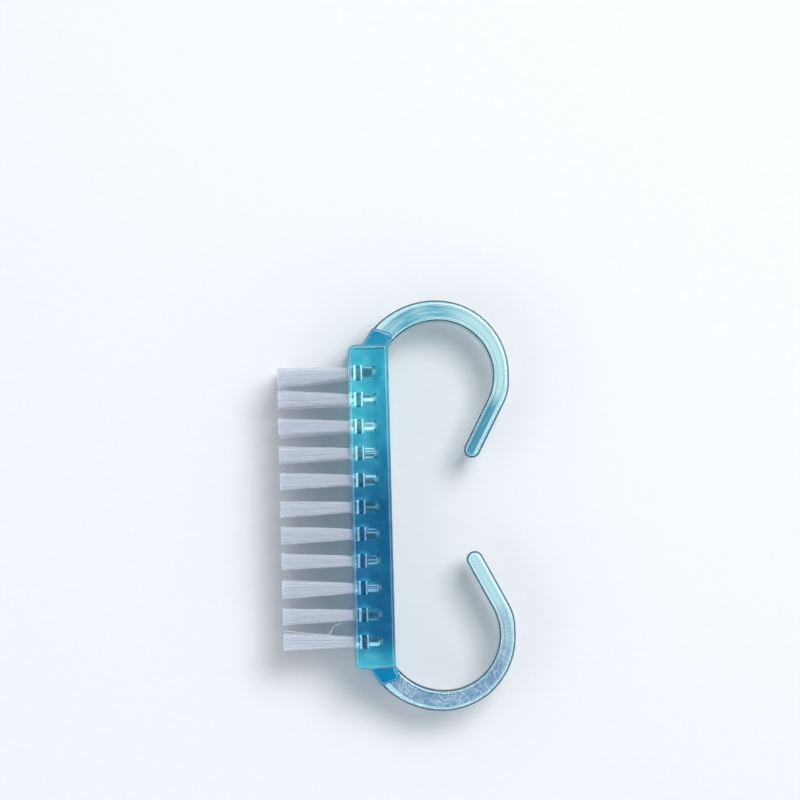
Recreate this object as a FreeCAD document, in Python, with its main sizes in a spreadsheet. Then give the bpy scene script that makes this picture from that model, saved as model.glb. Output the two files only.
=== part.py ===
import FreeCAD, Part
import math
import os
import Sketcher

# Nail brush lying on its side: +X runs from the bristle tips to the hook arms, +Y along the block, +Z up
# through its depth. The origin is under the middle of the whole brush, in the plane that it rests on.

# Driving dimensions, in millimetres, degrees and counts
SIZES = {
    # Block that holds the tufts; its margins run from the middle of the outermost holes to its faces
    "block_thickness": 6.75,
    "block_end_margin": 4.5,
    "block_side_margin": 2.1,
    "block_front_corner_radius": 1.3,
    "block_back_corner_radius": 0.5,
    "block_edge_radius": 0.65,
    # Hook arms, which curl from the ends of the block to face each other
    "arm_rise": 20.25,
    "arm_overhang": 7.4,
    "arm_depth": 6.5,
    "arm_root_setback": 2.33,
    "arm_foot_sink": 1.85,
    "arm_foot_drop": 6.3,
    "arm_outer_radius": 12.3,
    "arm_inner_radius": 9.2,
    "arm_top_thickness": 3.5,
    "arm_side_thickness": 2.7,
    "arm_side_run": 1.5,
    "arm_bend_radius": 8.0,
    "arm_tip_angle": 27.6,
    "arm_tip_reach": 9.2,
    "arm_edge_radius": 0.65,
    # Necks, the deeper stubs at the ends of the block that the arms grow out of
    "neck_depth": 12.0,
    "neck_outer_rise": 2.9,
    "neck_inner_rise": 1.8,
    "neck_overhang": 0.75,
    "neck_ledge": 0.15,
    "neck_side_angle": 57.0,
    "neck_blend_radius": 1.6,
    "neck_blend_sink": 0.08,
    "neck_corner_radius": 0.35,
    "neck_edge_radius": 0.5,
    # Grid of tuft holes in the block
    "tuft_rows": 11,
    "tuft_columns": 4,
    "row_pitch": 4.5,
    "column_pitch": 3.6,
    "hole_diameter": 2.0,
    "hole_depth": 4.7,
    "hole_bottom_radius": 0.5,
    # Tufts of folded filaments, drawn as strands in rings round one in the middle
    "bristle_length": 11.85,
    "strand_rings": 2,
    "strand_gap": 0.14,
    "strand_sink": 0.4,
    "tuft_gap": 0.2,
    "tuft_clearance": 0.02,
    "tuft_end_clearance": 0.15,
    # Flat wire anchors that pin the folds
    "anchor_sink": 0.88,
    "anchor_height": 1.45,
    "anchor_thickness": 0.3,
    "anchor_bite": 0.08,
    "anchor_clearance": 0.02,
    # How far a cut runs past the face that it starts from, and how close counts as touching
    "cut_overrun": 1.0,
    "touch_tolerance": 0.01,
}

doc = FreeCAD.newDocument("nail_brush")
sheet = doc.addObject("Spreadsheet::Sheet", "Sizes")
for line, (alias, amount) in enumerate(SIZES.items(), start=1):
    sheet.set(f"A{line}", alias)
    sheet.set(f"B{line}", str(amount))
    sheet.setAlias(f"B{line}", alias)
doc.recompute()

# Places that several pieces share, as expressions on the sheet
TIP_X = "(-(Sizes.bristle_length + Sizes.block_thickness + Sizes.arm_rise) / 2)"
FACE_X = f"({TIP_X} + Sizes.bristle_length)"
BACK_X = f"({FACE_X} + Sizes.block_thickness)"
REACH_X = f"({BACK_X} + Sizes.arm_rise)"
BLOCK_LENGTH = "((Sizes.tuft_rows - 1) * Sizes.row_pitch + 2 * Sizes.block_end_margin)"
BLOCK_DEPTH = "((Sizes.tuft_columns - 1) * Sizes.column_pitch + 2 * Sizes.block_side_margin)"
END_Y = f"({BLOCK_LENGTH} / 2)"
MIDDLE_Z = f"({BLOCK_DEPTH} / 2)"
TOP_Y = f"({END_Y} + Sizes.arm_overhang)"
INNER_TOP_Y = f"({TOP_Y} - Sizes.arm_top_thickness)"
OUTER_CENTRE_X = f"({REACH_X} - Sizes.arm_outer_radius)"
OUTER_CENTRE_Y = f"({TOP_Y} - Sizes.arm_outer_radius)"
INNER_CENTRE_X = f"({REACH_X} - Sizes.arm_side_thickness - Sizes.arm_inner_radius)"
INNER_CENTRE_Y = f"({INNER_TOP_Y} - Sizes.arm_inner_radius)"
BEND_CENTRE_X = f"({REACH_X} - Sizes.arm_bend_radius)"
BEND_CENTRE_Y = f"({OUTER_CENTRE_Y} - Sizes.arm_side_run)"
SHOULDER_Y = f"({END_Y} + Sizes.neck_outer_rise)"
ARM_ROOT_X = f"({BACK_X} - Sizes.arm_root_setback)"
SHOULDER_X = f"({ARM_ROOT_X} - Sizes.neck_ledge)"
ARM_FOOT_X = f"({BACK_X} - Sizes.arm_foot_sink)"
ARM_FOOT_Y = f"({END_Y} - Sizes.arm_foot_drop)"
NECK_INNER_X = f"({BACK_X} + Sizes.neck_overhang)"
NECK_INNER_Y = f"({END_Y} + Sizes.neck_inner_rise)"
FIRST_ROW_Y = "(-(Sizes.tuft_rows - 1) * Sizes.row_pitch / 2)"
FIRST_COLUMN_Z = "Sizes.block_side_margin"
ROOT_RADIUS = "(Sizes.hole_diameter / 2 - Sizes.tuft_clearance)"
TIPS_RADIUS = "((Sizes.column_pitch - Sizes.tuft_gap) / 2)"
STRANDS_ACROSS = "(2 * Sizes.strand_rings + 1)"
STRAND_ROOT_RADIUS = f"({ROOT_RADIUS} / {STRANDS_ACROSS})"
STRAND_TIP_RADIUS = f"(({TIPS_RADIUS} - Sizes.strand_rings * Sizes.strand_gap) / {STRANDS_ACROSS})"
ANCHOR_X = f"({FACE_X} + Sizes.anchor_sink)"
ANCHOR_LENGTH = "(Sizes.hole_diameter + 2 * Sizes.anchor_bite)"
SLOT_THICKNESS = "(Sizes.anchor_thickness + 2 * Sizes.anchor_clearance)"


def number(expression):
    """The value of an expression on the sheet."""
    return float(sheet.evalExpression(expression))


def point(x, y):
    return FreeCAD.Vector(x, y, 0)


def origin_feature(body, role):
    return next(feature for feature in body.Origin.OriginFeatures if feature.Role == role)


def new_sketch(body, name, offset_y="0", offset_z="0"):
    """A sketch parallel to the body's XY plane, with its own origin moved along Y and Z."""
    sketch = body.newObject("Sketcher::SketchObject", name)
    sketch.AttachmentSupport = [(origin_feature(body, "XY_Plane"), "")]
    sketch.MapMode = "FlatFace"
    sketch.setExpression("AttachmentOffset.Base.y", offset_y)
    sketch.setExpression("AttachmentOffset.Base.z", offset_z)
    return sketch


def add_line(sketch, start, end):
    return sketch.addGeometry(Part.LineSegment(start, end), False)


def add_arc(sketch, centre, radius, start_degrees, end_degrees):
    circle = Part.Circle(centre, FreeCAD.Vector(0, 0, 1), radius)
    arc = Part.ArcOfCircle(circle, math.radians(start_degrees), math.radians(end_degrees))
    return sketch.addGeometry(arc, False)


def add_side_arc(sketch, top, end):
    """An arc that is level at its top and runs down from there to its end, on the left."""
    run = end - top
    radius = run.dot(run) / -(2 * run.y)
    centre = top - point(0, radius)
    end_degrees = math.degrees(math.atan2(end.y - centre.y, end.x - centre.x)) % 360
    return add_arc(sketch, centre, radius, 90, end_degrees)


START, END, CENTRE = range(1, 4)
ORIGIN = (-1, 1)


def join(sketch, *pairs):
    """Makes each pair of points, given as (line, end, line, end), one point."""
    for pair in pairs:
        sketch.addConstraint(Sketcher.Constraint("Coincident", *pair))


def blend(sketch, *pairs):
    """Makes each pair of ends one point at which the two lines run on smoothly."""
    for pair in pairs:
        sketch.addConstraint(Sketcher.Constraint("Tangent", *pair))


def dimension(sketch, kind, items, expression):
    """A dimension that follows an expression on the sheet."""
    amount = number(expression)
    if kind == "Angle":
        amount = math.radians(amount)
    index = sketch.addConstraint(Sketcher.Constraint(kind, *items, amount))
    sketch.setExpression(f"Constraints[{index}]", expression)


def place(sketch, line, end, x, y):
    """Places a point of a line by its coordinates; one that is None stays free."""
    for kind, expression in (("DistanceX", x), ("DistanceY", y)):
        if expression is not None:
            dimension(sketch, kind, (*ORIGIN, line, end), expression)


def add_outline(sketch, *corners):
    """A closed outline of straight sides between corners that are pairs of expressions."""
    points = [point(number(x), number(y)) for x, y in corners]
    sides = [add_line(sketch, points[i - 1], points[i]) for i in range(len(points))]
    join(sketch, *[(sides[i - 1], END, sides[i], START) for i in range(len(sides))])
    for side, (x, y) in zip(sides, corners):
        place(sketch, side, END, x, y)


def add_rectangle(sketch, left, right, bottom, top):
    add_outline(sketch, (left, bottom), (right, bottom), (right, top), (left, top))


def add_pad(body, name, sketch, depth, both_ways):
    pad = body.newObject("PartDesign::Pad", name)
    pad.Profile = sketch
    pad.SideType = "Symmetric" if both_ways else "One side"
    pad.setExpression("Length", depth)
    doc.recompute()
    return pad


def add_fillet(body, name, base, wanted, radius):
    """Rounds the edges of a feature that a test picks."""
    edges = [f"Edge{i}" for i, edge in enumerate(base.Shape.Edges, start=1) if wanted(edge.BoundBox)]
    fillet = body.newObject("PartDesign::Fillet", name)
    fillet.Base = (base, edges)
    fillet.setExpression("Radius", radius)
    doc.recompute()
    return fillet


TOUCH = number("Sizes.touch_tolerance")


def level(box):
    """Whether an edge lies in one plane across the depth of the brush."""
    return box.ZLength < TOUCH


def upright(box):
    """Whether an edge runs straight along the depth of the brush."""
    return box.XLength < TOUCH and box.YLength < TOUCH


def stands_at(box, corner):
    """Whether an edge lies at a corner of an outline."""
    return abs(box.XMin - corner.x) < TOUCH and abs(box.YMin - corner.y) < TOUCH


def on_side(box, depth):
    """Whether an edge lies in either side face of a piece of this depth, centred in the brush."""
    return level(box) and abs(abs(box.ZMin - number(MIDDLE_Z)) - number(depth) / 2) < TOUCH


def make_handle():
    """Block, neck and hook arm of the upper half, mirrored, then drilled and slotted for the tufts."""
    body = doc.addObject("PartDesign::Body", "Handle")
    body.Label = "handle"

    # Upper half of the block
    sketch = new_sketch(body, "BlockOutline")
    add_rectangle(sketch, FACE_X, BACK_X, "0", END_Y)
    block = add_pad(body, "Block", sketch, BLOCK_DEPTH, False)
    end_y = number(END_Y)
    middle_x = number(f"({FACE_X} + {BACK_X}) / 2")
    block = add_fillet(body, "BlockFrontCorner", block,
                       lambda box: upright(box) and box.YMax > end_y - TOUCH and box.XMax < middle_x,
                       "Sizes.block_front_corner_radius")
    block = add_fillet(body, "BlockBackCorner", block,
                       lambda box: upright(box) and box.YMax > end_y - TOUCH and box.XMin > middle_x,
                       "Sizes.block_back_corner_radius")
    add_fillet(body, "BlockEdges", block,
               lambda box: on_side(box, BLOCK_DEPTH) and box.YMax > TOUCH,
               "Sizes.block_edge_radius")

    # Neck: it leans out of the end of the block, with a hollow blend, and ends in a slanted flat shoulder
    sketch = new_sketch(body, "NeckOutline", offset_z=MIDDLE_Z)
    sunk_y = f"({END_Y} - Sizes.neck_outer_rise)"
    root_x = f"({BACK_X} - Sizes.neck_overhang * Sizes.neck_outer_rise / Sizes.neck_inner_rise)"
    blend_y = f"({END_Y} - Sizes.neck_blend_sink + Sizes.neck_blend_radius)"
    shoulder = point(number(SHOULDER_X), number(SHOULDER_Y))
    inner = point(number(NECK_INNER_X), number(NECK_INNER_Y))
    root = point(number(root_x), number(sunk_y))
    lean_degrees = number("Sizes.neck_side_angle")
    lean = point(math.cos(math.radians(lean_degrees)), math.sin(math.radians(lean_degrees)))
    away = point(-lean.y, lean.x)
    blend_radius = number("Sizes.neck_blend_radius")
    side_length = (shoulder.y + away.y * blend_radius - number(blend_y)) / lean.y
    side_start = shoulder - lean * side_length
    blend_centre = side_start + away * blend_radius
    blend_start = blend_centre - point(0, blend_radius)
    sunk = point(blend_start.x, number(sunk_y))
    hollow = add_arc(sketch, blend_centre, blend_radius, 270, 270 + lean_degrees)
    side = add_line(sketch, side_start, shoulder)
    flat = add_line(sketch, shoulder, inner)
    back = add_line(sketch, inner, root)
    floor = add_line(sketch, root, sunk)
    drop = add_line(sketch, sunk, blend_start)
    blend(sketch, (hollow, END, side, START))
    join(sketch, (side, END, flat, START), (flat, END, back, START), (back, END, floor, START),
         (floor, END, drop, START), (drop, END, hollow, START))
    sketch.addConstraint(Sketcher.Constraint("Vertical", drop))
    sketch.addConstraint(Sketcher.Constraint("Vertical", hollow, CENTRE, hollow, START))
    dimension(sketch, "Radius", (hollow,), "Sizes.neck_blend_radius")
    dimension(sketch, "Angle", (side,), "Sizes.neck_side_angle")
    place(sketch, hollow, CENTRE, None, blend_y)
    place(sketch, side, END, SHOULDER_X, SHOULDER_Y)
    place(sketch, flat, END, NECK_INNER_X, NECK_INNER_Y)
    place(sketch, back, END, root_x, sunk_y)
    place(sketch, floor, END, None, sunk_y)
    neck = add_pad(body, "Neck", sketch, "Sizes.neck_depth", True)
    neck = add_fillet(body, "NeckCorners", neck,
                      lambda box: upright(box) and (stands_at(box, shoulder) or stands_at(box, inner)),
                      "Sizes.neck_corner_radius")
    add_fillet(body, "NeckEdges", neck,
               lambda box: on_side(box, "Sizes.neck_depth") and box.YMax > end_y + TOUCH,
               "Sizes.neck_edge_radius")

    # Arm: a round outer and a round inner curve, both flatter towards the neck and thickest at the top,
    # then a straight end with a round tip; its edges are rounded before it joins the neck and block
    arm_body = doc.addObject("PartDesign::Body", "ArmBody")
    sketch = new_sketch(arm_body, "ArmOutline", offset_z=MIDDLE_Z)
    outer_centre = point(number(OUTER_CENTRE_X), number(OUTER_CENTRE_Y))
    outer_radius = number("Sizes.arm_outer_radius")
    root_end = point(number(ARM_ROOT_X), number(SHOULDER_Y))
    inner_centre = point(number(INNER_CENTRE_X), number(INNER_CENTRE_Y))
    inner_radius = number("Sizes.arm_inner_radius")
    foot = point(number(ARM_FOOT_X), number(ARM_FOOT_Y))
    bend_centre = point(number(BEND_CENTRE_X), number(BEND_CENTRE_Y))
    bend_radius = number("Sizes.arm_bend_radius")
    tip_degrees = number("Sizes.arm_tip_angle")
    tip_y = number("Sizes.arm_tip_reach")
    outward = point(math.cos(math.radians(tip_degrees)), -math.sin(math.radians(tip_degrees)))
    onward = point(outward.y, -outward.x)
    outer_gap = outward.dot(bend_centre) + bend_radius
    inner_gap = outward.dot(inner_centre) + inner_radius
    tip_radius = (outer_gap - inner_gap) / 2
    straight_start = outward * ((outer_gap + inner_gap) / 2)
    tip_centre = straight_start + onward * ((tip_y - straight_start.y) / onward.y)
    outer_root = add_side_arc(sketch, outer_centre + point(0, outer_radius), root_end)
    outer = add_arc(sketch, outer_centre, outer_radius, 0, 90)
    drop = add_line(sketch, outer_centre + point(outer_radius, 0), bend_centre + point(bend_radius, 0))
    bend = add_arc(sketch, bend_centre, bend_radius, -tip_degrees, 0)
    outer_end = add_line(sketch, bend_centre + outward * bend_radius, tip_centre + outward * tip_radius)
    tip = add_arc(sketch, tip_centre, tip_radius, 180 - tip_degrees, 360 - tip_degrees)
    inner_end = add_line(sketch, tip_centre - outward * tip_radius, inner_centre + outward * inner_radius)
    inside = add_arc(sketch, inner_centre, inner_radius, -tip_degrees, 90)
    inside_root = add_side_arc(sketch, inner_centre + point(0, inner_radius), foot)
    close = add_line(sketch, foot, root_end)
    blend(sketch, (outer_root, START, outer, END), (outer, START, drop, START), (drop, END, bend, END),
          (bend, START, outer_end, START), (outer_end, END, tip, END), (tip, START, inner_end, START),
          (inner_end, END, inside, START), (inside, END, inside_root, START))
    join(sketch, (inside_root, END, close, START), (close, END, outer_root, END))
    place(sketch, outer, CENTRE, OUTER_CENTRE_X, OUTER_CENTRE_Y)
    dimension(sketch, "Radius", (outer,), "Sizes.arm_outer_radius")
    place(sketch, outer_root, CENTRE, OUTER_CENTRE_X, None)
    place(sketch, outer_root, END, ARM_ROOT_X, SHOULDER_Y)
    sketch.addConstraint(Sketcher.Constraint("Vertical", drop))
    dimension(sketch, "Radius", (bend,), "Sizes.arm_bend_radius")
    place(sketch, bend, CENTRE, None, BEND_CENTRE_Y)
    dimension(sketch, "Angle", (drop, START, outer_end, START), "-Sizes.arm_tip_angle")
    sketch.addConstraint(Sketcher.Constraint("Parallel", outer_end, inner_end))
    place(sketch, tip, CENTRE, None, "Sizes.arm_tip_reach")
    place(sketch, inside, CENTRE, INNER_CENTRE_X, INNER_CENTRE_Y)
    dimension(sketch, "Radius", (inside,), "Sizes.arm_inner_radius")
    place(sketch, inside_root, CENTRE, INNER_CENTRE_X, None)
    place(sketch, inside_root, END, ARM_FOOT_X, ARM_FOOT_Y)
    arm = add_pad(arm_body, "Arm", sketch, "Sizes.arm_depth", True)
    add_fillet(arm_body, "ArmEdges", arm,
               lambda box: on_side(box, "Sizes.arm_depth") and box.XMax > foot.x + TOUCH,
               "Sizes.arm_edge_radius")
    joined = body.newObject("PartDesign::Boolean", "ArmJoin")
    joined.addObject(arm_body)
    joined.Type = "Fuse"
    body.Tip = joined
    doc.recompute()

    # The other half
    whole = body.newObject("PartDesign::Mirrored", "BothHalves")
    whole.TransformMode = "Whole shape"
    whole.MirrorPlane = (origin_feature(body, "XZ_Plane"), [""])
    body.Tip = whole
    doc.recompute()

    # One blind hole with a rounded bottom, and the slit that its anchor cuts on the way in
    sketch = new_sketch(body, "HoleProfile", FIRST_ROW_Y, FIRST_COLUMN_Z)
    mouth_x = f"({FACE_X} - Sizes.cut_overrun)"
    bottom_x = f"({FACE_X} + Sizes.hole_depth)"
    hole_radius = "(Sizes.hole_diameter / 2)"
    round_radius = number("Sizes.hole_bottom_radius")
    mouth = number(mouth_x)
    bottom = number(bottom_x)
    wide = number(hole_radius)
    axis = add_line(sketch, point(mouth, 0), point(bottom, 0))
    floor = add_line(sketch, point(bottom, 0), point(bottom, wide - round_radius))
    corner = add_arc(sketch, point(bottom - round_radius, wide - round_radius), round_radius, 0, 90)
    wall = add_line(sketch, point(bottom - round_radius, wide), point(mouth, wide))
    lid = add_line(sketch, point(mouth, wide), point(mouth, 0))
    join(sketch, (axis, END, floor, START), (wall, END, lid, START), (lid, END, axis, START))
    blend(sketch, (floor, END, corner, START), (corner, END, wall, START))
    for side in (axis, wall):
        sketch.addConstraint(Sketcher.Constraint("Horizontal", side))
    for side in (floor, lid):
        sketch.addConstraint(Sketcher.Constraint("Vertical", side))
    place(sketch, axis, START, mouth_x, "0")
    place(sketch, axis, END, bottom_x, None)
    place(sketch, wall, END, None, hole_radius)
    dimension(sketch, "Radius", (corner,), "Sizes.hole_bottom_radius")
    hole = body.newObject("PartDesign::Groove", "TuftHole")
    hole.Profile = sketch
    hole.ReferenceAxis = (sketch, ["H_Axis"])
    doc.recompute()
    sketch = new_sketch(body, "SlitOutline", FIRST_ROW_Y, FIRST_COLUMN_Z)
    slit_end = f"({ANCHOR_X} + Sizes.anchor_height + Sizes.anchor_clearance)"
    slit_side = f"({ANCHOR_LENGTH} / 2 + Sizes.anchor_clearance)"
    add_rectangle(sketch, mouth_x, slit_end, f"-{slit_side}", slit_side)
    slit = body.newObject("PartDesign::Pocket", "AnchorSlit")
    slit.Profile = sketch
    slit.SideType = "Symmetric"
    slit.setExpression("Length", SLOT_THICKNESS)
    doc.recompute()

    # The whole grid of holes and slits
    grid = body.newObject("PartDesign::LinearPattern", "TuftGrid")
    grid.Originals = [hole, slit]
    grid.Direction = (origin_feature(body, "Y_Axis"), [""])
    grid.Mode = "Extent"
    grid.setExpression("Length", "(Sizes.tuft_rows - 1) * Sizes.row_pitch")
    grid.setExpression("Occurrences", "Sizes.tuft_rows")
    grid.Direction2 = (origin_feature(body, "Z_Axis"), [""])
    grid.Mode2 = "Extent"
    grid.setExpression("Length2", "(Sizes.tuft_columns - 1) * Sizes.column_pitch")
    grid.setExpression("Occurrences2", "Sizes.tuft_columns")
    body.Tip = grid
    doc.recompute()
    return body


def set_place(piece, x, y, z):
    """Binds the three coordinates of a piece to expressions."""
    for axis, expression in (("x", x), ("y", y), ("z", z)):
        piece.setExpression(f"Placement.Base.{axis}", expression)


def make_strand(name, ring, turn):
    """One strand of a tuft: a slender cone from inside the root to a little past the cut tips."""
    across = FreeCAD.Vector(0, math.cos(turn), math.sin(turn))
    root_radius = number(STRAND_ROOT_RADIUS)
    tip_radius = number(STRAND_TIP_RADIUS)
    mouth = FreeCAD.Vector(number(FACE_X), 0, 0) + across * (2 * ring * root_radius)
    tip = FreeCAD.Vector(number(TIP_X), 0, 0) + across * (ring * (2 * tip_radius + number("Sizes.strand_gap")))
    sunk_share = number("Sizes.strand_sink / Sizes.bristle_length")
    past_share = number("Sizes.cut_overrun / Sizes.bristle_length")
    start = mouth + (mouth - tip) * sunk_share
    end = tip + (tip - mouth) * past_share
    strand = doc.addObject("Part::Cone", name)
    strand.Radius1 = root_radius + (root_radius - tip_radius) * sunk_share
    strand.Radius2 = tip_radius + (tip_radius - root_radius) * past_share
    strand.Height = (end - start).Length
    strand.Placement = FreeCAD.Placement(start, FreeCAD.Rotation(FreeCAD.Vector(0, 0, 1), end - start))
    return strand


def make_bundle():
    """A tuft on the X axis: a round root, strands that fan out to the cut tips, and a gap for the anchor."""
    root = doc.addObject("Part::Cylinder", "Root")
    root.setExpression("Radius", ROOT_RADIUS)
    root.setExpression("Height", "Sizes.hole_depth - Sizes.tuft_end_clearance")
    root.Placement.Rotation = FreeCAD.Rotation(FreeCAD.Vector(0, 0, 1), FreeCAD.Vector(1, 0, 0))
    set_place(root, FACE_X, "0", "0")
    folds = doc.addObject("Part::Fillet", "Folds")
    folds.Base = root
    doc.recompute()
    ends = {edge.BoundBox.XMin: i for i, edge in enumerate(root.Shape.Edges, start=1)}
    fold_radius = number("Sizes.hole_bottom_radius")
    folds.Edges = [(ends[max(ends)], fold_radius, fold_radius)]

    strands = [make_strand("Strand_0_1", 0, 0)]
    for ring in range(1, int(number("Sizes.strand_rings")) + 1):
        count = 6 * ring
        strands += [make_strand(f"Strand_{ring}_{i + 1}", ring, 2 * math.pi * i / count) for i in range(count)]
    whole = doc.addObject("Part::MultiFuse", "Strands")
    whole.Shapes = [folds, *strands]

    tips = doc.addObject("Part::Box", "CutTips")
    for side in ("Length", "Width", "Height"):
        tips.setExpression(side, "2 * Sizes.column_pitch")
    set_place(tips, f"{TIP_X} - 2 * Sizes.column_pitch", "-Sizes.column_pitch", "-Sizes.column_pitch")
    even = doc.addObject("Part::Cut", "EvenTips")
    even.Base = whole
    even.Tool = tips

    gap = doc.addObject("Part::Box", "AnchorGap")
    gap.setExpression("Length", "Sizes.anchor_height + 2 * Sizes.anchor_clearance")
    gap.setExpression("Width", f"{ANCHOR_LENGTH} + 2 * Sizes.anchor_clearance")
    gap.setExpression("Height", SLOT_THICKNESS)
    set_place(gap, f"{ANCHOR_X} - Sizes.anchor_clearance",
              f"-{ANCHOR_LENGTH} / 2 - Sizes.anchor_clearance", f"-{SLOT_THICKNESS} / 2")
    bundle = doc.addObject("Part::Cut", "Bundle")
    bundle.Base = even
    bundle.Tool = gap
    doc.recompute()
    return bundle


def make_tuft(bundle, row, column):
    """The bundle again, in its own hole."""
    name = f"tuft_{row + 1:02d}_{column + 1}"
    tuft = doc.addObject("Part::Compound", name)
    tuft.Links = [bundle]
    tuft.Label = name
    set_place(tuft, "0", f"{FIRST_ROW_Y} + {row} * Sizes.row_pitch",
              f"{FIRST_COLUMN_Z} + {column} * Sizes.column_pitch")
    return tuft


def make_anchors(rows, columns):
    """The flat wire anchors, one across each tuft hole."""
    wires = []
    for row in range(rows):
        for column in range(columns):
            wire = doc.addObject("Part::Box", f"Anchor_{row + 1:02d}_{column + 1}")
            wire.setExpression("Length", "Sizes.anchor_height")
            wire.setExpression("Width", ANCHOR_LENGTH)
            wire.setExpression("Height", "Sizes.anchor_thickness")
            set_place(wire, ANCHOR_X,
                      f"{FIRST_ROW_Y} + {row} * Sizes.row_pitch - {ANCHOR_LENGTH} / 2",
                      f"{FIRST_COLUMN_Z} + {column} * Sizes.column_pitch - Sizes.anchor_thickness / 2")
            wires.append(wire)
    anchors = doc.addObject("Part::Compound", "Anchors")
    anchors.Links = wires
    anchors.Label = "anchors"
    return anchors


rows = int(number("Sizes.tuft_rows"))
columns = int(number("Sizes.tuft_columns"))
pieces = [make_handle()]
bundle = make_bundle()
pieces += [make_tuft(bundle, row, column) for row in range(rows) for column in range(columns)]
pieces.append(make_anchors(rows, columns))
doc.recompute()

for item in doc.Objects:
    if {"Invalid", "Error"} & set(item.State):
        raise RuntimeError(f"{item.Name} failed: {item.State}")
for piece in pieces:
    if piece.Shape.isNull() or not piece.Shape.isValid():
        raise RuntimeError(f"{piece.Label} has no valid shape")

os.makedirs("parts", exist_ok=True)
for piece in pieces:
    piece.Shape.exportStep(os.path.join("parts", f"{piece.Label}.step"))
    print(piece.Label, len(piece.Shape.Solids), "solids", round(piece.Shape.Volume, 2), "mm3")
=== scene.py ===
# %% [markdown]
# # A clear plastic nail brush
# The brush lies on its side and is seen from above: bristles to the left, hook arms to the right. The
# packed model brings every piece at its real size, in metres, so nothing below has to be fitted or scaled.

# %% Load the frame
import math
import random
import bmesh
import bpy
from mathutils import Matrix, Vector


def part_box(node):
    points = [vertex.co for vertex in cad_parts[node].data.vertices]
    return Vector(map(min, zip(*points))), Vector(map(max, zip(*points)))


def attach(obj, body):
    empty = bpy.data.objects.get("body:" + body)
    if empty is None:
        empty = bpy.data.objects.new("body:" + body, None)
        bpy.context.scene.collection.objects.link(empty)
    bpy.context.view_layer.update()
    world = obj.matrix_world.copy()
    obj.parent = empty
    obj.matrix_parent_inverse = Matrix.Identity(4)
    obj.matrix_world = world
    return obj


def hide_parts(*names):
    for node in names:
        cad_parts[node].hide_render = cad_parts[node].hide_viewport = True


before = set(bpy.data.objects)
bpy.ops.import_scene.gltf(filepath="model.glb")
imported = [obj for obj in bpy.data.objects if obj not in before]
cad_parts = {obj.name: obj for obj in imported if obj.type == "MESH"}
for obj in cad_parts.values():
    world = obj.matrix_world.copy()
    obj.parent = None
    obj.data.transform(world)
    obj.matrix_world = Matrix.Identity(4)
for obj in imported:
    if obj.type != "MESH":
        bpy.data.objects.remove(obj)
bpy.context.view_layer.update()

MM = 0.001

# %% [markdown]
# ## Camera
# The picture is taken from high above with a long lens, so the two ends of the brush look almost equally
# large. The camera stands a little to the bristle side and the lower end, which shows a sliver of the
# walls that face that way, and it is rolled slightly because the brush leans in the picture. A matrix of
# three axes is the plainest way to aim it: a tracking constraint loses its sense of up when it looks
# straight down.

# %% Place the camera
PICTURE_WIDTH = 800  # pixels
PIXELS_PER_MM = 5.94
CAMERA_PLACE = Vector((-12, -10, 657.5)) * MM
CAMERA_TARGET = Vector((1.1, 17.9, 7.5)) * MM
ROLL = math.radians(1.4)
NEAREST_SEEN = 0.01


def add_object(name, data):
    """A new object in the scene, at the origin and unturned."""
    made = bpy.data.objects.new(name, data)
    bpy.context.scene.collection.objects.link(made)
    return made


camera = add_object("camera", bpy.data.cameras.new("camera"))
bpy.context.scene.camera = camera
offset = CAMERA_PLACE - CAMERA_TARGET
back = offset.normalized()
right = Vector((math.cos(ROLL), -math.sin(ROLL), 0))
right = (right - back * right.dot(back)).normalized()
aim = Matrix((right, back.cross(right), back)).transposed().to_4x4()
camera.matrix_world = Matrix.Translation(CAMERA_PLACE) @ aim
field = PICTURE_WIDTH / PIXELS_PER_MM * MM
camera.data.lens = camera.data.sensor_width * offset.length / field
camera.data.clip_start = NEAREST_SEEN
print("lens:", round(camera.data.lens, 1), "mm, field:", round(field / MM, 1), "mm wide")

# %% [markdown]
# ## Shader maths
# Every finish below is a small sum of places and noises. Adding and linking each node by hand would bury
# that sum in bookkeeping, so one class stands for the output of a node: plus, minus, times and divide on
# it add Math nodes, and a few methods add the softer steps, mixes and noises that come up again and
# again.

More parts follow.
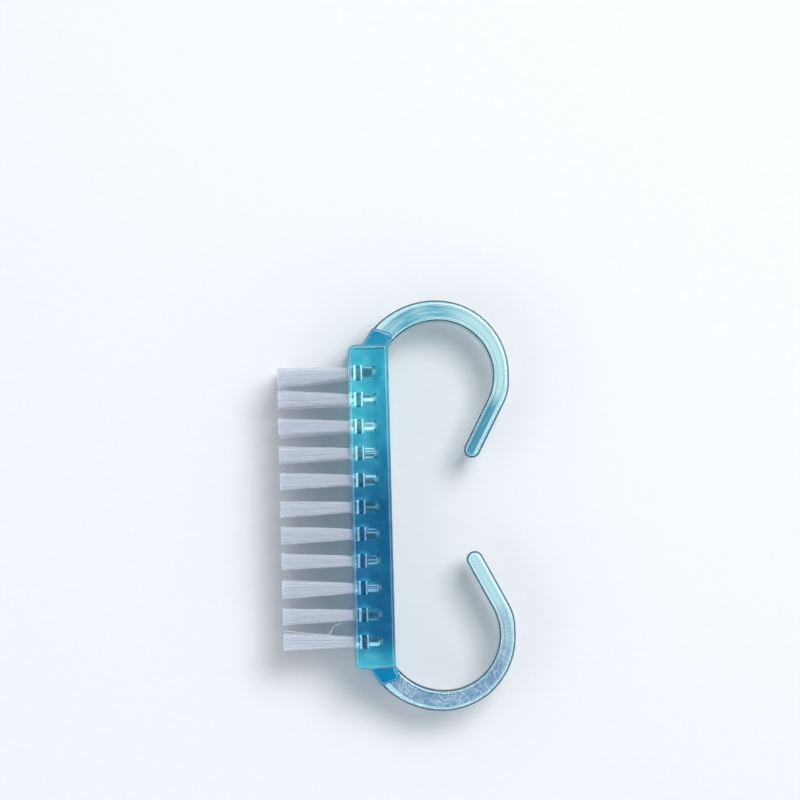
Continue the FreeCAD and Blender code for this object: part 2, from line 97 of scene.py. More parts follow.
# %% A helper for shader maths
class Socket:
    """One output of a shader node; arithmetic on it adds Math nodes to the same tree."""

    def __init__(self, tree, output):
        self.tree = tree
        self.output = output

    def node(self, kind, settings=None, **inputs):
        """Adds a node of any kind; its sockets are named with _ for a space, or by number as in _0."""
        made = self.tree.nodes.new(kind)
        for key, value in (settings or {}).items():
            if key == "stops":
                ramp = made.color_ramp.elements
                while len(ramp) < len(value):
                    ramp.new(0)
                for stop, (place, colour) in zip(ramp, value):
                    stop.position = place
                    stop.color = (*colour, 1)
            else:
                setattr(made, key, value)
        set_inputs(made, **inputs)
        return made

    def of(self, made, output=0):
        return Socket(self.tree, made.outputs[output])

    def math(self, operation, *values):
        numbered = {f"_{i}": value for i, value in enumerate(values)}
        return self.of(self.node("ShaderNodeMath", {"operation": operation}, **numbered))

    def __add__(self, other):
        return self.math("ADD", self, other)

    def __radd__(self, other):
        return self.math("ADD", other, self)

    def __sub__(self, other):
        return self.math("SUBTRACT", self, other)

    def __rsub__(self, other):
        return self.math("SUBTRACT", other, self)

    def __mul__(self, other):
        return self.math("MULTIPLY", self, other)

    def __rmul__(self, other):
        return self.math("MULTIPLY", other, self)

    def __truediv__(self, other):
        return self.math("DIVIDE", self, other)

    def step(self, low, high):
        """0 below low, 1 above high, and a smooth rise between."""
        settings = {"interpolation_type": "SMOOTHSTEP", "clamp": True}
        made = self.node("ShaderNodeMapRange", settings, Value=self, From_Min=low, From_Max=high)
        return self.of(made)

    def band(self, start, full, end, gone):
        """A smooth rise from start to full, 1 between, and a smooth fall from end to gone."""
        return self.step(start, full) * (1 - self.step(end, gone))

    def mix(self, first, second):
        """A colour between two colours, by this value."""
        made = self.node("ShaderNodeMix", {"data_type": "RGBA"}, Factor=self, _6=first, _7=second)
        return self.of(made, 2)

    def noise(self, scale, detail=2.0, distortion=0.0):
        """Noise at the place that this vector gives."""
        made = self.node("ShaderNodeTexNoise", {}, Vector=self, Scale=scale, Detail=detail, Roughness=0.5,
                         Distortion=distortion)
        return self.of(made)

    def stretched(self, scale):
        """This vector, scaled along each axis."""
        return self.of(self.node("ShaderNodeMapping", {}, Vector=self, Scale=scale))

    def axes(self):
        made = self.node("ShaderNodeSeparateXYZ", {}, Vector=self)
        return [self.of(made, i) for i in range(3)]

    def bump(self, strength, distance):
        """A normal that is tilted by this height."""
        made = self.node("ShaderNodeBump", {}, Height=self, Strength=strength, Distance=distance)
        return self.of(made)


def set_inputs(node, **inputs):
    """Sets or links the sockets of a node, named as in Socket.node; colours are given without alpha."""
    for key, value in inputs.items():
        socket = node.inputs[int(key[1:]) if key[1:].isdigit() else key.replace("_", " ")]
        if isinstance(value, Socket):
            value.tree.links.new(value.output, socket)
        elif socket.type == "RGBA":
            socket.default_value = (*value, 1)
        else:
            socket.default_value = value


def new_material(name):
    """A material with one Principled shader, and the place on the object as a socket."""
    material = bpy.data.materials.new(name)
    material.use_nodes = True
    tree = material.node_tree
    where = Socket(tree, tree.nodes.new("ShaderNodeTexCoord").outputs["Object"])
    return material, tree.nodes["Principled BSDF"], where


print("shader helper ready:", [name for name in vars(Socket) if not name.startswith("_")])

# %% [markdown]
# ## Floor
# The brush lies on plain pale paper. A clear object shows the floor through its body, and its own soft
# shadow would turn the plastic murky there. In the real thing light also runs along inside the plastic
# and lights up what lies under it; a renderer would need very many paths for that. So rays that have
# passed through the plastic see the paper as evenly lit, and all others see it with its shadows. The
# paper lies a hair below the brush, because two faces in one plane would flicker.

# %% Lay the floor
FLOOR_SIZE = 3.0
FLOOR_GAP = 0.1 * MM
PAPER_TONES = (0.80, 0.81, 0.83), (0.83, 0.84, 0.86)
PAPER_GRAIN = 900.0  # per metre, as all noise below that takes the plain place
LIT_PAPER = (0.97, 0.98, 1.0)

floor_mesh = bmesh.new()
bmesh.ops.create_grid(floor_mesh, x_segments=1, y_segments=1, size=FLOOR_SIZE)
bmesh.ops.translate(floor_mesh, verts=floor_mesh.verts, vec=(0, 0, -FLOOR_GAP))
floor_data = bpy.data.meshes.new("floor")
floor_mesh.to_mesh(floor_data)
floor_mesh.free()
floor = add_object("floor", floor_data)

floor_paper, shader, where = new_material("floor_paper")
set_inputs(shader, Base_Color=where.noise(PAPER_GRAIN, detail=3.0).mix(*PAPER_TONES), Roughness=0.9)
lit = where.of(where.node("ShaderNodeEmission", {}, Color=LIT_PAPER, Strength=1.0))
through = where.of(where.node("ShaderNodeLightPath"), "Is Transmission Ray")
seen = where.of(where.node("ShaderNodeMixShader", {}, _0=through, _1=where.of(shader), _2=lit))
set_inputs(floor_paper.node_tree.nodes["Material Output"], Surface=seen)
floor_data.materials.append(floor_paper)
print("floor:", 2 * FLOOR_SIZE, "m wide,", round(FLOOR_GAP / MM, 2), "mm below the brush")

# %% [markdown]
# ## Sky
# Smooth plastic is drawn by what it mirrors. A white sky all round would lay a grey veil over the colour,
# and a dark one would leave the edges dull. A studio answers this with a ring of bright soft boxes round
# a dark ceiling, which shows only as thin light lines on the rounded edges. The ring here is seen in
# gloss alone; the light that falls on the floor comes from a plain pale sky.

# %% Hang the sky
AIR_STOPS = [(0.0, (0.10, 0.12, 0.14)), (0.55, (0.72, 0.74, 0.78)),
             (0.85, (0.54, 0.56, 0.60)), (1.0, (0.16, 0.18, 0.20))]
RING_HEIGHT = (0.45, 0.55, 0.85, 0.92)
DARK_STUDIO = (0.05, 0.06, 0.07)
SOFT_BOX = (4.2, 4.35, 4.5)
FIRST_BOUNCE = (0.4, 0.6)

world = bpy.data.worlds.new("sky")
world.use_nodes = True
toward = Socket(world.node_tree, world.node_tree.nodes.new("ShaderNodeTexCoord").outputs["Generated"])
up = toward.axes()[2]
air = up.of(up.node("ShaderNodeValToRGB", {"stops": AIR_STOPS}, Fac=up))
studio = up.band(*RING_HEIGHT).mix(DARK_STUDIO, SOFT_BOX)
rays = up.node("ShaderNodeLightPath")
direct = 1 - up.of(rays, "Diffuse Depth").step(*FIRST_BOUNCE)
in_gloss = up.of(rays, "Is Glossy Ray") * direct
set_inputs(world.node_tree.nodes["Background"], Color=in_gloss.mix(air, studio))
bpy.context.scene.world = world
print("sky stops:", len(AIR_STOPS), "ring of boxes between heights:", RING_HEIGHT[0], RING_HEIGHT[-1])

# %% [markdown]
# ## Lamps
# One large soft lamp at the upper right throws the soft shadows to the lower left. A much weaker one
# opposite keeps the walls that face away from going black; a stronger one would lay a second shadow into
# the hooks.

# %% Set the lamps
LAMPS = {"key_lamp": (Vector((0.24, 0.26, 0.75)), 0.36, 4.3),
         "fill_lamp": (Vector((-0.45, -0.20, 0.50)), 0.50, 0.5)}

for name, (place, size, watts) in LAMPS.items():
    lamp = add_object(name, bpy.data.lights.new(name, "AREA"))
    lamp.data.size = size
    lamp.data.energy = watts
    lamp.location = place
    lamp.rotation_euler = (-place).to_track_quat("-Z", "Y").to_euler()
bpy.context.scene.view_settings.view_transform = "Standard"
print("lamps in watts:", {name: watts for name, (place, size, watts) in LAMPS.items()})

# %% [markdown]
# ## Clear turquoise plastic: where things are
# The handle is one moulding of dyed clear styrene, but it doesn't look the same everywhere: light runs
# along inside it and leaves each form with its own depth of colour. Splitting the handle into several
# materials would draw hard seams, so one material finds out where it is, from the place on the object in
# millimetres. Each zone is a soft mask: two places for its rise, and two more for its fall where it has
# one.

# %% Find the zones of the handle
ARM_X = (-0.8, 1.0)
ARM_Y = (27.3, 27.8)
ARM_Z = (4.0, 4.15, 10.85, 11.0)
LOWER_Y = (-3.0, 3.0)
BLOCK_Z = (0.6, 0.9, 14.1, 14.4)
NECK_Y = (26.6, 27.0)
NECK_Z = (3.4, 4.0, 11.0, 11.6)
HOLE_X = (-7.55, -7.35, -3.6, -3.3)
HOLE_Y = (24.5, 25.5)
HOLE_Z = (0.7, 0.8, 14.2, 14.3)

clear_plastic, plastic_shader, where = new_material("clear_plastic")
x, y, z = [axis / MM for axis in where.axes()]
far = x.math("ABSOLUTE", y)
in_arm = x.math("MAXIMUM", x.step(*ARM_X), far.step(*ARM_Y) * z.band(*ARM_Z))
lower = 1 - y.step(*LOWER_Y)
block_skin = 1 - z.band(*BLOCK_Z)
neck_skin = far.step(*NECK_Y) * (1 - z.band(*NECK_Z))
skin = x.math("MAXIMUM", block_skin, neck_skin)
in_hole = x.band(*HOLE_X) * (1 - far.step(*HOLE_Y)) * z.band(*HOLE_Z)
lift = x.math("ABSOLUTE", where.of(where.node("ShaderNodeNewGeometry"), "Normal").axes()[2])
print("nodes for the zones:", len(clear_plastic.node_tree.nodes))

# %% [markdown]
# ## Flow marks, and the shapes of painted light and shade
# Hot plastic that runs into a mould leaves traces as it cools: a slow waviness, fine speckles and ripples
# like a fingerprint. The same noises also shape painted light and shade: streaks along the arms that carry
# painted shade, patches that carry painted light, and, from the slow waviness, clouds of painted shade.
# All of them are noise. The streaks need the noise bent round with the arm, so their place is given as
# distance from the middle of the bend and angle round it.

# %% Make the flow marks and the shapes of painted light and shade
BEND_MIDDLE = (7.525, 21.7)
STREAK_SCALE = 1.3  # per millimetre, since its place is made of millimetres
STREAK_LENGTHS = (1.2, 0.5)  # how much the angle and the depth count beside the distance
FLOW_SCALE, FLOW_SHAPE, FLOW_TWIST = 240.0, (1.0, 1.0, 0.4), 0.6
SPECKLE_SCALE = 4000.0
PATCH_SCALE, PATCH_EDGE = 330.0, (0.48, 0.68)
RIPPLE_COUNT = 80.0

run_x = x - BEND_MIDDLE[0]
run_y = far - BEND_MIDDLE[1]
turn = x.math("ARCTAN2", run_y, run_x)
outward = x.math("SQRT", run_x * run_x + run_y * run_y)
along = where.of(where.node("ShaderNodeCombineXYZ", {}, X=outward, Y=STREAK_LENGTHS[0] * turn,
                            Z=STREAK_LENGTHS[1] * z))
# painted shade: these streaks shape the painted shade of the upper arm
painted_shade_streaks = along.noise(STREAK_SCALE)
# the real waviness, which also shapes clouds of painted shade
flow_and_shade_noise = where.stretched(FLOW_SHAPE).noise(FLOW_SCALE, distortion=FLOW_TWIST)
speckle = where.noise(SPECKLE_SCALE, detail=1.0)
# painted light: these patches shape the painted light on the block faces
painted_light_patches = where.noise(PATCH_SCALE, detail=1.0).step(*PATCH_EDGE)
ripple = x.math("SINE", RIPPLE_COUNT * flow_and_shade_noise)
print("nodes with the flow marks:", len(clear_plastic.node_tree.nodes))

# %% [markdown]
# ## Lines inside the arms
# An arm is a bar with rounded edges. Seen from above its edges bend the light into thin dark lines that
# follow the outline, and the flat between them is the core. These lines are painted shade in the colour.
# Two distances are enough to draw them: from the inner edge and from the outer edge. Each edge is an arc
# that goes over into a straight end, so the distance is measured from the middle of the arc, and past the
# arc only sideways.

# %% Draw the lines of the arms
INNER_MIDDLE, INNER_RADIUS = BEND_MIDDLE, 9.2
OUTER_MIDDLE, OUTER_RADIUS = (7.125, 22.1), 12.3
END_LEAN = math.radians(27.6)
CORE_INNER, CORE_OUTER = (0.5, 0.8), (0.55, 0.85)
STRAIGHT_TURN = (-0.60, -0.25)
INNER_LINES = [(0.75, 0.45, 0.12), (0.6, 0.85, 0.11)]  # strength, then place and half width in mm
OUTER_LINES = [(0.45, 0.75, 0.12)]
LOWER_END_FADE = 0.6


def bend_distance(middle):
    """How far a place lies from the middle of a bend; past the bend only the sideways part counts."""
    from_x = x - middle[0]
    from_y = far - middle[1]
    side = from_x * math.cos(END_LEAN) - from_y * math.sin(END_LEAN)
    ahead = x.math("MAXIMUM", from_x * math.sin(END_LEAN) + from_y * math.cos(END_LEAN), 0.0)
    return x.math("SQRT", side * side + ahead * ahead)


def line(value, place, half):
    """A soft line where a value passes a place."""
    return value.band(place - half, place, place, place + half)


inner = bend_distance(INNER_MIDDLE) - INNER_RADIUS
outer = OUTER_RADIUS - bend_distance(OUTER_MIDDLE)
core = inner.step(*CORE_INNER) * outer.step(*CORE_OUTER)
straight = 1 - turn.step(*STRAIGHT_TURN)
lines = [strength * line(inner, place, half) for strength, place, half in INNER_LINES]
lines += [strength * line(outer, place, half) for strength, place, half in OUTER_LINES]
arm_lines = in_arm * sum(lines) * (1 - LOWER_END_FADE * lower * straight)
shift = ((OUTER_MIDDLE[0] - INNER_MIDDLE[0]) * math.cos(END_LEAN)
         - (OUTER_MIDDLE[1] - INNER_MIDDLE[1]) * math.sin(END_LEAN))
print("width of an arm's straight end in mm:", round(OUTER_RADIUS + shift - INNER_RADIUS, 2))

# %% [markdown]
# ## Painted light and shade on the block and the necks
# The plastic is one even turquoise, but light and shade leave the block pale at its ends and deep blue in
# between, darker towards its back, with soft light patches and a small light dome beside each hole, where
# the walls of the hole throw light sideways; the necks come out deeper blue still. Modelling what light does
# in there would take bubbles and stress in the plastic that nobody can measure, so all of these are painted
# light and painted shade: tones of the two broad faces, laid over the dye inside; the side walls and the
# holes keep the bare dye. The domes repeat with the rows, so their place is wrapped at the spacing of the
# rows.

# %% Paint light and shade on the block and the necks
# All tones below but the bare white are painted light and painted shade over the dye.
BARE = (1.0, 1.0, 1.0)
FRONT_PAINTED_TONES = (0.27, 0.69, 0.78), (0.06, 0.21, 0.38)  # each pair: at the ends of the block, and in its deep part
PATCH_PAINTED_LIGHT = (0.55, 0.95, 1.0), (0.12, 0.33, 0.52)
DOME_PAINTED_LIGHT = (0.55, 0.95, 1.0), (0.17, 0.46, 0.70)
REAR_PAINTED_SHADE = (0.05, 0.40, 0.56), (0.015, 0.14, 0.28)
NECK_PAINTED_SHADE = (0.09, 0.44, 0.61), (0.012, 0.315, 0.57)  # upper and lower
NECK_END_PAINTED_SHADE = (0.015, 0.27, 0.56)
DEEP_Y = (-27.0, -21.0, -2.0, 20.0)
REAR_X, REAR_CLOUD = (-5.8, -2.6), (0.3, 0.7)
NECK_END_Y = (28.0, 30.3)
PATCH_SHARE, DOME_SHARE = 0.75, 0.6
ROW_PITCH = 4.5
DOME_X, DOME_HALF_LENGTH = -5.7, 1.5
DOME_START = 0.95  # from the middle of a hole
DOME_FOOT, DOME_EDGE = (-0.2, 0.1), (0.5, 1.0)
LAST_DOME_Y = (23.6, 24.6)

painted_deep_shade = y.band(*DEEP_Y)
painted_front_tone = (PATCH_SHARE * painted_light_patches).mix(painted_deep_shade.mix(*FRONT_PAINTED_TONES), painted_deep_shade.mix(*PATCH_PAINTED_LIGHT))
dome_x = (x - DOME_X) / DOME_HALF_LENGTH
dome_y = x.math("WRAP", y / ROW_PITCH, 0.5, -0.5) * ROW_PITCH - DOME_START
painted_dome_light = 1 - x.math("SQRT", dome_x * dome_x + dome_y * dome_y).step(*DOME_EDGE)
painted_dome_light = DOME_SHARE * painted_dome_light * dome_y.step(*DOME_FOOT) * (1 - far.step(*LAST_DOME_Y))
painted_front_tone = painted_dome_light.mix(painted_front_tone, painted_deep_shade.mix(*DOME_PAINTED_LIGHT))
painted_rear_shade = x.step(*REAR_X) * (0.25 + 0.65 * flow_and_shade_noise.step(*REAR_CLOUD))
body = skin.mix(BARE, painted_rear_shade.mix(painted_front_tone, painted_deep_shade.mix(*REAR_PAINTED_SHADE)))
painted_neck_shade = far.step(*NECK_END_Y).mix(lower.mix(*NECK_PAINTED_SHADE), NECK_END_PAINTED_SHADE)
body = neck_skin.mix(body, painted_neck_shade)
print("nodes with the block:", len(clear_plastic.node_tree.nodes))

# %% [markdown]
# ## Colour and painted shade of the arms
# The arms are thin, so the dye alone leaves them pale. The upper one gets painted shade: blue streaks at
# its root and a bluer straight end. The lower one is frosted, with a lilac bloom and ripples on its curve,
# and darker clouds of painted shade. The two arms could be two materials, but they are one moulding: a
# mask of upper and lower does it.

# %% Colour the arms
# The root blue, the end blue and the cloud colour are painted shade.
ROOT_PAINTED_SHADE = (0.18, 0.50, 0.62)
END_PAINTED_SHADE = (0.005, 0.28, 0.46)
BLOOM = (0.38, 0.36, 0.58)
CLOUD_PAINTED_SHADE = (0.10, 0.24, 0.40)
LINE_DARK = (0.01, 0.09, 0.13)
ROOT_TURN, RIPPLE_TURN, CLOUD_TURN = (0.9, 1.7), (0.0, 0.5), (0.3, 0.6)  # angles round the bend
STREAK_EDGE, SPECKLE_EDGE = (0.35, 0.65), (0.40, 0.60)
RIPPLE_EDGE, CLOUD_EDGE = (-0.6, 0.8), (0.50, 0.62)
CLOUD_SHARE = 0.55

rooted = turn.step(*ROOT_TURN)
upper_arm = (in_arm * core * rooted * (0.25 + painted_shade_streaks.step(*STREAK_EDGE))).mix(body, ROOT_PAINTED_SHADE)
upper_arm = (in_arm * core * straight * (0.6 + 0.4 * painted_shade_streaks)).mix(upper_arm, END_PAINTED_SHADE)
grain = 0.40 * speckle.step(*SPECKLE_EDGE) + 0.60 * ripple.step(*RIPPLE_EDGE) * turn.step(*RIPPLE_TURN)
bloom = in_arm * (0.2 + 0.8 * core) * (0.2 + grain) * (1 - 0.8 * straight)
painted_cloud_shade = in_arm * core * flow_and_shade_noise.step(*CLOUD_EDGE) * turn.step(*CLOUD_TURN)
lower_arm = (CLOUD_SHARE * painted_cloud_shade).mix(bloom.mix(body, BLOOM), CLOUD_PAINTED_SHADE)
# The dark lines are painted shade, laid over the arm colours.
shade = arm_lines.mix(lower.mix(upper_arm, lower_arm), LINE_DARK)
print("nodes with the arms:", len(clear_plastic.node_tree.nodes))

# %% [markdown]
# ## Surface and dye
# The dye works through the depth: the thin arms look pale and the thick block deep, so it is an absorbing
# volume and not a paint. The surface is bright and smooth, a little frosted on the lower arm and dulled on
# the rounded edges of the block. Rounded edges also mirror the dark room and read as dark lines; that
# reflection is painted into the colour as a dark tone, and how far a face is tilted from flat picks them
# out. The walls of the holes are made mostly see-through, because the filaments that press on a real wall
# dull its glassy edge.

# %% Dress the handle
EDGE_DARK = (0.001, 0.013, 0.02)
EDGE_LIFT = (0.02, 0.12, 0.72, 0.93)
SOFT_LIFT = (0.05, 0.2, 0.95, 0.99)
FROST_EDGE, DUST_EDGE = (0.45, 0.7), (0.62, 0.75)
STYRENE_IOR = 1.57
HOLE_CLEARNESS = 0.88
WAVE_STRENGTH, WAVE_HEIGHT = 0.10, 0.2 * MM
DYE_COLOUR, DYE_DENSITY = (0.067, 0.789, 0.883), 100.0

# Painted reflection: the rounded edges are darkened in the colour, for the dark room they would mirror.
edge = lift.band(*EDGE_LIFT) * (0.35 + 0.65 * in_arm)
frost = in_arm * lower * speckle.step(*FROST_EDGE)
soft = (1 - in_arm) * lift.band(*SOFT_LIFT)
set_inputs(plastic_shader, Base_Color=edge.mix(shade, EDGE_DARK), IOR=STYRENE_IOR, Transmission_Weight=1.0,
           Roughness=0.02 + 0.05 * speckle.step(*DUST_EDGE) + 0.2 * frost + 0.3 * soft,
           Alpha=1 - HOLE_CLEARNESS * in_hole, Normal=flow_and_shade_noise.bump(WAVE_STRENGTH, WAVE_HEIGHT))
dye = where.node("ShaderNodeVolumeAbsorption", {}, Color=DYE_COLOUR, Density=DYE_DENSITY)
set_inputs(clear_plastic.node_tree.nodes["Material Output"], Volume=where.of(dye))

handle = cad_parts["handle"]
handle.data.materials[0] = clear_plastic
print("handle faces:", len(handle.data.polygons), "nodes of its finish:", len(clear_plastic.node_tree.nodes))

# %% [markdown]
# ## Tufts: one side of the anchor
# Each tuft is a bundle of nylon filaments, folded in half over its anchor and pushed into a blind hole. A
# cone with a streaky finish would do from afar, but the picture shows single filaments, so each one is
# laid out by itself. Round threads that are pressed together pack like a honeycomb, which fills half of
# the hole on one side of the anchor; the fold brings them back on the other side.

# %% Lay out the filaments of one tuft
FILAMENT_RADIUS = 0.09 * MM
HOLE_RADIUS = 1.0 * MM
ANCHOR_HALF_THICKNESS = 0.15 * MM
WALL_GAP, ANCHOR_GAP, THREAD_PITCH = 1.3, 1.2, 2.06  # in filament radii


def root_spots():
    """Where the filaments pass one side of the anchor, across the hole and away from the anchor."""
    reach = HOLE_RADIUS - WALL_GAP * FILAMENT_RADIUS
    pitch = THREAD_PITCH * FILAMENT_RADIUS
    spots = []
    height = ANCHOR_HALF_THICKNESS + ANCHOR_GAP * FILAMENT_RADIUS
    shift = 0.0
    while height < reach:
        half = math.sqrt(reach * reach - height * height)
        count = int(half / pitch) + 1
        for i in range(-count, count + 1):
            across = (i + shift) * pitch
            if abs(across) <= half:
                spots.append((across, height))
        height += pitch * math.sqrt(0.75)
        shift = 0.5 - shift
    return spots


SPOTS = root_spots()
print("filaments per tuft:", len(SPOTS))

# %% [markdown]
# ## Nylon
# Milky nylon lets some light through and scatters the rest, and a bundle of it is brighter than one
# thread; that scattered light is painted on as a very faint glow. The free part is half see-through with
# faint streaks and paler cut tips. Inside the block the threads nearly vanish, because the plastic round
# them is just as clear; only the outermost folds and a few lanes beside the anchor catch the light, and
# that light is painted on as a faint glow. The lanes ignore the depth: all four tufts of a row show through
# one another, and lanes that differ would blur into one bright block.

# %% Mix the nylon
NYLON_TONES = (0.78, 0.83, 0.92), (0.87, 0.90, 0.96)
TIP_TONE = (0.92, 0.94, 0.96)
# The glows are painted light: the light that the bundle scatters and the folds catch.
BUNDLE_PAINTED_LIGHT, SUNK_GLOW, FOLD_PAINTED_LIGHT = (0.020, 0.023, 0.026), (0.0, 0.0, 0.0), (0.70, 0.78, 0.82)
GLOW_STRENGTH = 0.75
STREAK_SHAPE, LANE_SHAPE = (60.0, 5200.0, 5200.0), (60.0, 4200.0, 0.0)
LANE_EDGE = (0.54, 0.62)
TIP_X, SUNK_X, MOUTH_ZONE_X = (-19.45, -19.1), (-7.9, -7.3), (-7.6, -7.4, -6.9, -6.7)
LOOP_X, FOLD_X = (-5.3, -5.0), (-3.5, -3.3)
NYLON_ROUGHNESS, NYLON_IOR, NYLON_TRANSMISSION = 0.30, 1.45, 0.6

nylon, shader, where = new_material("nylon")
x = where.axes()[0] / MM
tip = 1 - x.step(*TIP_X)
sunk = x.step(*SUNK_X)
tone = where.stretched(STREAK_SHAPE).noise(1.0, detail=1.0).mix(*NYLON_TONES)
lanes = where.stretched(LANE_SHAPE).noise(1.0, detail=0.0).step(*LANE_EDGE)
loops = x.math("MAXIMUM", (x.band(*MOUTH_ZONE_X) + x.step(*LOOP_X)) * lanes, x.step(*FOLD_X))
set_inputs(shader, Base_Color=tip.mix(tone, TIP_TONE), Roughness=NYLON_ROUGHNESS, IOR=NYLON_IOR,
           Transmission_Weight=NYLON_TRANSMISSION, Alpha=0.42 + 0.3 * tip - 0.38 * sunk + 0.3 * loops,
           Emission_Color=loops.mix(sunk.mix(BUNDLE_PAINTED_LIGHT, SUNK_GLOW), FOLD_PAINTED_LIGHT),
           Emission_Strength=GLOW_STRENGTH)
print("nodes of the nylon:", len(nylon.node_tree.nodes))

# %% [markdown]
# ## One filament
# A filament is a hairpin: from its cut tip down one side of the anchor, round the bottom of the hole, and
# out again on the other side. Between the mouth of the hole and the tips it spreads, and it bows a
# little. Each row leans and spreads by its own amount, as the picture shows; the small differences inside
# a tuft are drawn by chance with a fixed seed, so the brush comes out the same each time.

# %% Shape a hairpin
MOUTH_X = -7.575 * MM
NEAR_MOUTH = 2.0 * MM
LEAN_BY_ROW = [0.24, -0.07, 0.0, 0.16, 0.06, -0.11, 0.07, -0.04, 0.10, 0.31, -0.57]  # in mm, lowest row first
SPREAD_BY_ROW = [1.0, 0.97, 1.05, 0.97, 1.01, 1.0, 1.0, 1.0, 1.01, 0.96, 1.09]
TIP_GAP, TIP_CHANCE, BOW_CHANCE = 0.02, 0.05, 0.04  # in mm
HALFWAY_SHARE, NEAR_MOUTH_SHARE = 0.56, 0.26  # how far the spread has come on the way to the tip
FOLD_STEPS = 6


def hairpin(spot, tuft, lean, spread, chance):
    """The points of one filament, from one cut tip round the fold to the other."""
    low, high = tuft
    hole_y = (low.y + high.y) / 2
    hole_z = (low.z + high.z) / 2
    y, z = spot
    tip_radius = (high.y - low.y) / 2 - FILAMENT_RADIUS
    fold_x = high.x - HOLE_RADIUS + FILAMENT_RADIUS
    reach = HOLE_RADIUS - FILAMENT_RADIUS
    near = ANCHOR_HALF_THICKNESS
    legs = []
    for side in (1, -1):
        tip_y = lean + y / reach * tip_radius * spread + chance.gauss(0, TIP_CHANCE) * MM
        tip_z = side * (z - near) / (reach - near) * tip_radius + chance.gauss(0, TIP_CHANCE) * MM
        tip_z = max(-tip_radius, min(tip_radius, tip_z))
        tip_x = low.x + (TIP_GAP + abs(chance.gauss(0, TIP_CHANCE))) * MM
        bow = chance.gauss(0, BOW_CHANCE) * MM
        stations = [(tip_x, 1, 0), ((tip_x + MOUTH_X) / 2, HALFWAY_SHARE, bow),
                    (MOUTH_X - NEAR_MOUTH, NEAR_MOUTH_SHARE, bow / 2), (MOUTH_X, 0, 0), (fold_x, 0, 0)]
        legs.append([Vector((at, hole_y + share * tip_y + (1 - share) * y + bend,
                             hole_z + share * tip_z + (1 - share) * side * z))
                     for at, share, bend in stations])
    angles = [math.pi * k / FOLD_STEPS for k in range(1, FOLD_STEPS)]
    fold = [Vector((fold_x + z * math.sin(angle), hole_y + y, hole_z + z * math.cos(angle)))
            for angle in angles]
    return legs[0] + fold + legs[1][::-1]


print("rows:", len(LEAN_BY_ROW), "leaning in mm from", min(LEAN_BY_ROW), "to", max(LEAN_BY_ROW))

# %% [markdown]
# ## The tufts
# A poly curve with a round bevel turns the points of a filament into a thin tube with few faces, and its
# caps are the cut tips. All tubes of a tuft become one mesh, which stands for the solid of that tuft in
# the packed model. One filament has slipped out between the two lowest rows; it leaves the tips straight
# and ends in a curl, so its points are given one by one.

# %% Grow the tufts
STRAYS = {"tuft_01_4": [(-19.3, -20.3, 13.6), (-15.5, -20.8, 13.9), (-12.0, -21.2, 14.1),
                        (-11.55, -21.0, 14.1), (-11.45, -20.5, 14.1), (-11.15, -19.95, 14.1),
                        (-10.6, -19.5, 14.0), (-9.6, -19.25, 13.9)]}


def grow_tuft(name, row, box):
    """One tuft of filaments, as a mesh that stands for its solid in the packed model."""
    chance = random.Random(name)
    curve = bpy.data.curves.new(name, "CURVE")
    curve.dimensions = "3D"
    curve.bevel_depth = FILAMENT_RADIUS
    curve.bevel_resolution = 1
    curve.use_fill_caps = True
    paths = [hairpin(spot, box, LEAN_BY_ROW[row] * MM, SPREAD_BY_ROW[row], chance) for spot in SPOTS]
    if name in STRAYS:
        paths.append([Vector(place) * MM for place in STRAYS[name]])
    for path in paths:
        spline = curve.splines.new("POLY")
        spline.points.add(len(path) - 1)
        for place, point in zip(path, spline.points):
            point.co = (*place, 1)
    stem = add_object(name + "_curve", curve)
    bpy.context.view_layer.update()
    mesh = bpy.data.meshes.new_from_object(stem.evaluated_get(bpy.context.evaluated_depsgraph_get()))
    bpy.data.objects.remove(stem)
    mesh.materials.clear()
    mesh.materials.append(nylon)
    mesh.shade_smooth()
    piece = add_object(name.replace("tuft", "filaments"), mesh)
    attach(piece, "root")
    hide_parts(name)
    return piece


tuft_names = sorted(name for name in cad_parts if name.startswith("tuft_"))
tuft_boxes = {name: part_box(name) for name in tuft_names}
tufts = [grow_tuft(name, int(name.split("_")[1]) - 1, box) for name, box in tuft_boxes.items()]
print("tufts:", len(tufts), "faces of one:", len(tufts[0].data.polygons))

# %% [markdown]
# ## Anchor wire
# The anchors are cut from flat metal wire. Its flat faces carry the fine marks of the rolls across the
# wire, and its rolled edges catch the light. Through the dyed block these edges show as two light strokes
# across each hole. One plain metal would mirror the dark ceiling and leave them black, so the edges are
# rougher and carry a painted highlight: a paler metal colour and a faint glow that stand for the light they
# catch.

# %% Mix the wire
PLATE_TONES = (0.46, 0.52, 0.56), (0.72, 0.77, 0.81)
# The pale edge tone and the edge glow are a painted highlight.
EDGE_HIGHLIGHT_TONE = (0.92, 0.94, 0.95)
NO_GLOW, EDGE_PAINTED_HIGHLIGHT, EDGE_GLOW_STRENGTH = (0.0, 0.0, 0.0), (0.80, 0.88, 0.90), 0.8
ROLLING_SHAPE = (400.0, 9000.0, 400.0)
FLAT_X = (-6.45, -6.25, -5.55, -5.35)

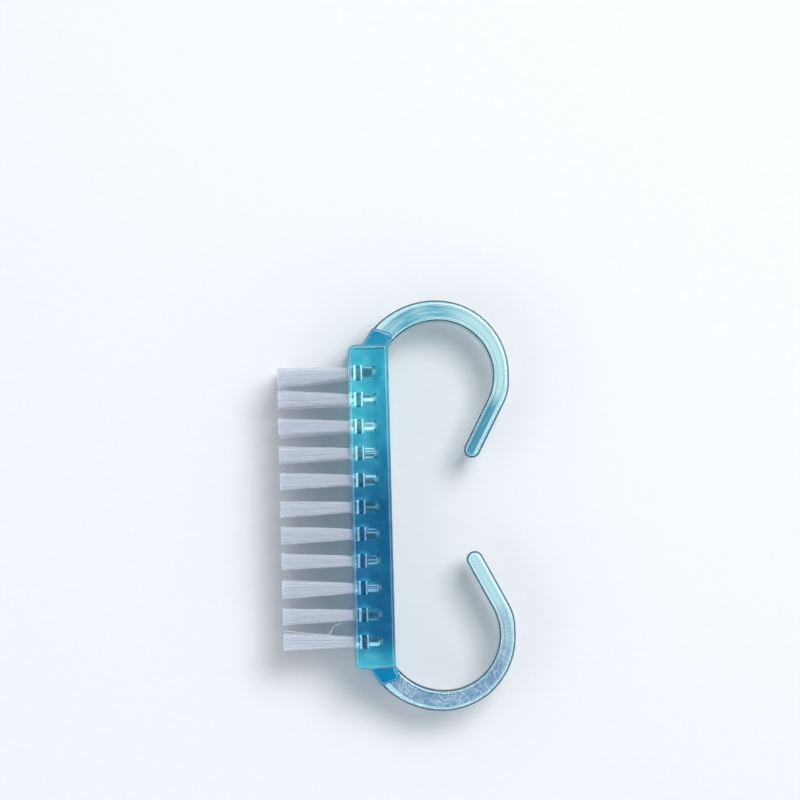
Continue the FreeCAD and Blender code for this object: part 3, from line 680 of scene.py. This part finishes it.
anchor_wire, shader, where = new_material("anchor_wire")
rolling = where.stretched(ROLLING_SHAPE).noise(1.0)
rolled = 1 - (where.axes()[0] / MM).band(*FLAT_X)
set_inputs(shader, Base_Color=rolled.mix(rolling.mix(*PLATE_TONES), EDGE_HIGHLIGHT_TONE), Metallic=1.0,
           Roughness=0.11 + 0.11 * rolling + 0.4 * rolled,
           Emission_Color=rolled.mix(NO_GLOW, EDGE_PAINTED_HIGHLIGHT), Emission_Strength=EDGE_GLOW_STRENGTH)
print("nodes of the wire:", len(anchor_wire.node_tree.nodes))

# %% [markdown]
# ## Anchors
# A short piece of the wire is driven across each hole and bites into its walls. A plain box would do for
# its place, but its long edges are rolled round and catch the light, so these four are bevelled. All 44
# are alike and none moves, so they are one mesh.

# %% Roll the anchors
ANCHOR_LENGTH = 2.16 * MM
EDGE_ROUND, EDGE_SEGMENTS = 0.14 * MM, 3

low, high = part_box("anchors")
wire_size = Matrix.Diagonal((high.x - low.x, ANCHOR_LENGTH, 2 * ANCHOR_HALF_THICKNESS, 1))
wires = bmesh.new()
for tuft_low, tuft_high in tuft_boxes.values():
    middle = (tuft_low + tuft_high) / 2
    middle.x = (low.x + high.x) / 2
    place = Matrix.Translation(middle) @ wire_size
    wire = bmesh.ops.create_cube(wires, size=1.0, matrix=place)["verts"]
    edges = {edge for vert in wire for edge in vert.link_edges
             if abs(edge.verts[0].co.y - edge.verts[1].co.y) > ANCHOR_LENGTH / 2}
    bmesh.ops.bevel(wires, geom=list(edges), affect="EDGES", offset=EDGE_ROUND, segments=EDGE_SEGMENTS,
                    profile=0.5, material=-1)
wire_data = bpy.data.meshes.new("anchor_wires")
wires.to_mesh(wire_data)
wires.free()
wire_data.materials.append(anchor_wire)
wire_piece = add_object("anchor_wires", wire_data)
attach(wire_piece, "root")
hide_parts("anchors")
print("anchors:", len(tuft_boxes), "faces of all:", len(wire_data.polygons))

# %% [markdown]
# ## Finish
# A ray on its way through the block crosses many walls and threads, so it is allowed enough turns to come
# out again instead of ending black. The dressed brush has to stay inside the box of the packed model.

# %% Give rays enough turns and finish
bpy.context.scene.cycles.transparent_max_bounces = 32
bpy.context.scene.cycles.transmission_bounces = 16
bpy.context.scene.cycles.max_bounces = 24
